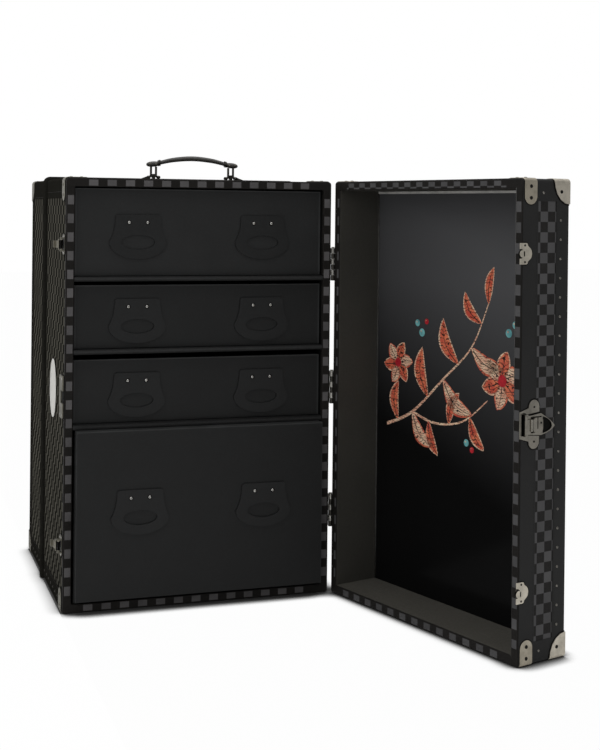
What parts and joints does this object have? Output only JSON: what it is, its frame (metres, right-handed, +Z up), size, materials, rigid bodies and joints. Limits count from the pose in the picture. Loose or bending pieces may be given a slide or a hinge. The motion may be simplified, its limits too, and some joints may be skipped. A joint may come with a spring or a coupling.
{
  "type": "wardrobe trunk",
  "caption": "Upright wardrobe trunk on its base: check-canvas case with leather bands and nickel fittings, drawers behind one hinged door, draw latches, clasp and top carrying handle",
  "frame": {"origin": "centre of the closed case's base, on the surface it stands on (the door is left out)", "axes": "+Z up through the carrying handle, -Y out of the drawers' fronts, +X towards the door's hinges"},
  "size_m": [0.7208, 0.913, 0.7738],
  "materials": {
    "case_canvas": "board covered with a dark check canvas and black leather bands",
    "rim_canvas": "wood edge bound with a grey and black check canvas",
    "binding_leather": "black leather, satin",
    "shelf_board": "board covered with dark grey cloth",
    "drawer_leather": "matt near-black leather",
    "drawer_front_board": "board covered with matt near-black leather",
    "drawer_board": "thin board, cloth lined",
    "gloss_panel": "glossy black sheet",
    "nickel": "warm nickel, worn satin",
    "gunmetal": "dark bronzed metal"
  },
  "bodies": {
    "case": {"middle_shell": "case_canvas", "middle_rim_binding": "rim_canvas", "rear_shell": "case_canvas", "seam_binding": "binding_leather", "shelf_top": "shelf_board", "shelf_middle": "shelf_board", "shelf_low": "shelf_board", "hinge_upper_case_leaf": "gunmetal", "hinge_middle_case_leaf": "gunmetal", "hinge_lower_case_leaf": "gunmetal", "hinge_upper_pin": "nickel", "hinge_middle_pin": "nickel", "hinge_lower_pin": "nickel", "rear_cap_top_left": "nickel", "rear_cap_top_right": "nickel", "rear_cap_bottom_left": "nickel", "rear_cap_bottom_right": "nickel", "latch_upper_base": "nickel", "latch_lower_base": "nickel", "lock_plate": "nickel", "handle_foot_left": "gunmetal", "handle_foot_right": "gunmetal"},
    "door": {"door_shell": "case_canvas", "door_rim_binding": "rim_canvas", "door_panel": "gloss_panel", "door_cap_top_left": "nickel", "door_cap_top_right": "nickel", "door_cap_bottom_left": "nickel", "door_cap_bottom_right": "nickel", "hinge_upper_door_leaf": "gunmetal", "hinge_middle_door_leaf": "gunmetal", "hinge_lower_door_leaf": "gunmetal", "keeper_upper": "nickel", "keeper_lower": "nickel", "clasp_base": "nickel"},
    "drawer_top": {"drawer_top_front": "drawer_front_board", "drawer_top_box": "drawer_board", "drawer_top_pull_left": "drawer_leather", "drawer_top_pull_right": "drawer_leather"},
    "drawer_middle": {"drawer_middle_front": "drawer_front_board", "drawer_middle_box": "drawer_board", "drawer_middle_pull_left": "drawer_leather", "drawer_middle_pull_right": "drawer_leather"},
    "drawer_low": {"drawer_low_front": "drawer_front_board", "drawer_low_box": "drawer_board", "drawer_low_pull_left": "drawer_leather", "drawer_low_pull_right": "drawer_leather"},
    "drawer_deep": {"drawer_deep_front": "drawer_front_board", "drawer_deep_box": "drawer_board", "drawer_deep_pull_left": "drawer_leather", "drawer_deep_pull_right": "drawer_leather"},
    "handle": {"handle_grip": "binding_leather", "handle_link_left": "gunmetal", "handle_link_right": "gunmetal"},
    "latch_upper_lever": {"latch_upper_lever": "nickel"},
    "latch_upper_hook": {"latch_upper_hook": "nickel"},
    "latch_lower_lever": {"latch_lower_lever": "nickel"},
    "latch_lower_hook": {"latch_lower_hook": "nickel"},
    "clasp_lever": {"clasp_lever": "nickel"},
    "clasp_tongue": {"clasp_tongue": "nickel"}
  },
  "joints": [
    {"name": "door_hinge", "type": "hinge", "parent": "case", "child": "door", "pos_m": [0.239, -0.2243, 0.365], "axis": [0, 0, 1], "range_deg": [-106.5, 73.5]},
    {"name": "drawer_top_slide", "type": "slide", "parent": "case", "child": "drawer_top", "axis": [0, -1, 0], "range_m": [0, 0.28]},
    {"name": "drawer_middle_slide", "type": "slide", "parent": "case", "child": "drawer_middle", "axis": [0, -1, 0], "range_m": [0, 0.28]},
    {"name": "drawer_low_slide", "type": "slide", "parent": "case", "child": "drawer_low", "axis": [0, -1, 0], "range_m": [0, 0.28]},
    {"name": "drawer_deep_slide", "type": "slide", "parent": "case", "child": "drawer_deep", "axis": [0, -1, 0], "range_m": [0, 0.28]},
    {"name": "handle_fold", "type": "hinge", "parent": "case", "child": "handle", "pos_m": [0, -0.144, 0.737], "axis": [1, 0, 0], "range_deg": [-85, 85]},
    {"name": "latch_upper_lift", "type": "hinge", "parent": "case", "child": "latch_upper_lever", "pos_m": [-0.2403, -0.212, 0.618], "axis": [0, 0, 1], "range_deg": [-6, 127]},
    {"name": "latch_upper_hook_swing", "type": "hinge", "parent": "latch_upper_lever", "child": "latch_upper_hook", "pos_m": [-0.24426, -0.20751, 0.618], "axis": [0, 0, -1], "range_deg": [-178, 0]},
    {"name": "latch_lower_lift", "type": "hinge", "parent": "case", "child": "latch_lower_lever", "pos_m": [-0.2403, -0.212, 0.112], "axis": [0, 0, 1], "range_deg": [-6, 127]},
    {"name": "latch_lower_hook_swing", "type": "hinge", "parent": "latch_lower_lever", "child": "latch_lower_hook", "pos_m": [-0.24426, -0.20751, 0.112], "axis": [0, 0, -1], "range_deg": [-178, 0]},
    {"name": "clasp_lift", "type": "hinge", "parent": "door", "child": "clasp_lever", "pos_m": [0.38218, -0.68198, 0.362], "axis": [0, 0, 1], "range_deg": [-110, 0]},
    {"name": "clasp_tongue_swing", "type": "hinge", "parent": "clasp_lever", "child": "clasp_tongue", "pos_m": [0.38218, -0.68198, 0.362], "axis": [0, 0, -1], "range_deg": [0, 165]}
  ]
}
